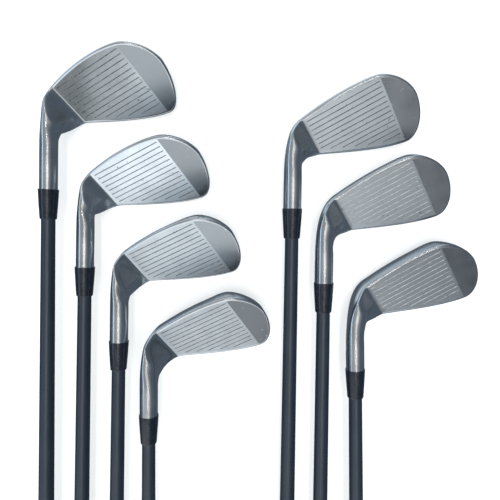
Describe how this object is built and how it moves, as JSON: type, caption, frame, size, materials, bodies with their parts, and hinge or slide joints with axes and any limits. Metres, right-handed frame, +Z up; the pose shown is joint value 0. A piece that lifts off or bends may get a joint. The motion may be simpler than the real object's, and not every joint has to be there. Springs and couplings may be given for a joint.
{
  "type": "golf club set",
  "caption": "Set of right-handed irons with steel heads, dark composite shafts and rubber grips, lying face up in two staggered rows.",
  "frame": {"origin": "middle of the set's footprint, on the ground that the clubs lie on", "axes": "+Z up, out of the ground and roughly out of the hitting faces; +Y along the shafts from grips to heads; +X towards the toes"},
  "size_m": [0.3607, 1.1396, 0.0398],
  "materials": {
    "head_steel": "chrome-plated cast steel, polished hosel and sole, blasted hitting face",
    "ferrule_plastic": "turned and polished blue-black plastic",
    "shaft_composite": "satin charcoal paint over carbon fibre",
    "plug_brass": "turned",
    "tape_paper": "double-sided paper tape",
    "grip_rubber": "moulded rubber with a small textured pattern",
    "cap_rubber": "smooth moulded rubber"
  },
  "bodies": {
    "pw": {"pw_head": "head_steel", "pw_ferrule": "ferrule_plastic", "pw_shaft": "shaft_composite", "pw_tip_plug": "plug_brass", "pw_grip_tape": "tape_paper", "pw_grip": "grip_rubber", "pw_butt_cap": "cap_rubber"},
    "iron9": {"iron9_head": "head_steel", "iron9_ferrule": "ferrule_plastic", "iron9_shaft": "shaft_composite", "iron9_tip_plug": "plug_brass", "iron9_grip_tape": "tape_paper", "iron9_grip": "grip_rubber", "iron9_butt_cap": "cap_rubber"},
    "iron8": {"iron8_head": "head_steel", "iron8_ferrule": "ferrule_plastic", "iron8_shaft": "shaft_composite", "iron8_tip_plug": "plug_brass", "iron8_grip_tape": "tape_paper", "iron8_grip": "grip_rubber", "iron8_butt_cap": "cap_rubber"},
    "iron7": {"iron7_head": "head_steel", "iron7_ferrule": "ferrule_plastic", "iron7_shaft": "shaft_composite", "iron7_tip_plug": "plug_brass", "iron7_grip_tape": "tape_paper", "iron7_grip": "grip_rubber", "iron7_butt_cap": "cap_rubber"},
    "iron6": {"iron6_head": "head_steel", "iron6_ferrule": "ferrule_plastic", "iron6_shaft": "shaft_composite", "iron6_tip_plug": "plug_brass", "iron6_grip_tape": "tape_paper", "iron6_grip": "grip_rubber", "iron6_butt_cap": "cap_rubber"},
    "iron5": {"iron5_head": "head_steel", "iron5_ferrule": "ferrule_plastic", "iron5_shaft": "shaft_composite", "iron5_tip_plug": "plug_brass", "iron5_grip_tape": "tape_paper", "iron5_grip": "grip_rubber", "iron5_butt_cap": "cap_rubber"},
    "iron4": {"iron4_head": "head_steel", "iron4_ferrule": "ferrule_plastic", "iron4_shaft": "shaft_composite", "iron4_tip_plug": "plug_brass", "iron4_grip_tape": "tape_paper", "iron4_grip": "grip_rubber", "iron4_butt_cap": "cap_rubber"}
  },
  "joints": [
    {"name": "pw_lift", "type": "slide", "parent": "iron7", "child": "pw", "axis": [0, 0, 1], "range_m": [0, 0.3]},
    {"name": "iron9_lift", "type": "slide", "parent": "iron7", "child": "iron9", "axis": [0, 0, 1], "range_m": [0, 0.3]},
    {"name": "iron8_lift", "type": "slide", "parent": "iron7", "child": "iron8", "axis": [0, 0, 1], "range_m": [0, 0.3]},
    {"name": "iron6_lift", "type": "slide", "parent": "iron7", "child": "iron6", "axis": [0, 0, 1], "range_m": [0, 0.3]},
    {"name": "iron5_lift", "type": "slide", "parent": "iron7", "child": "iron5", "axis": [0, 0, 1], "range_m": [0, 0.3]},
    {"name": "iron4_lift", "type": "slide", "parent": "iron7", "child": "iron4", "axis": [0, 0, 1], "range_m": [0, 0.3]}
  ]
}
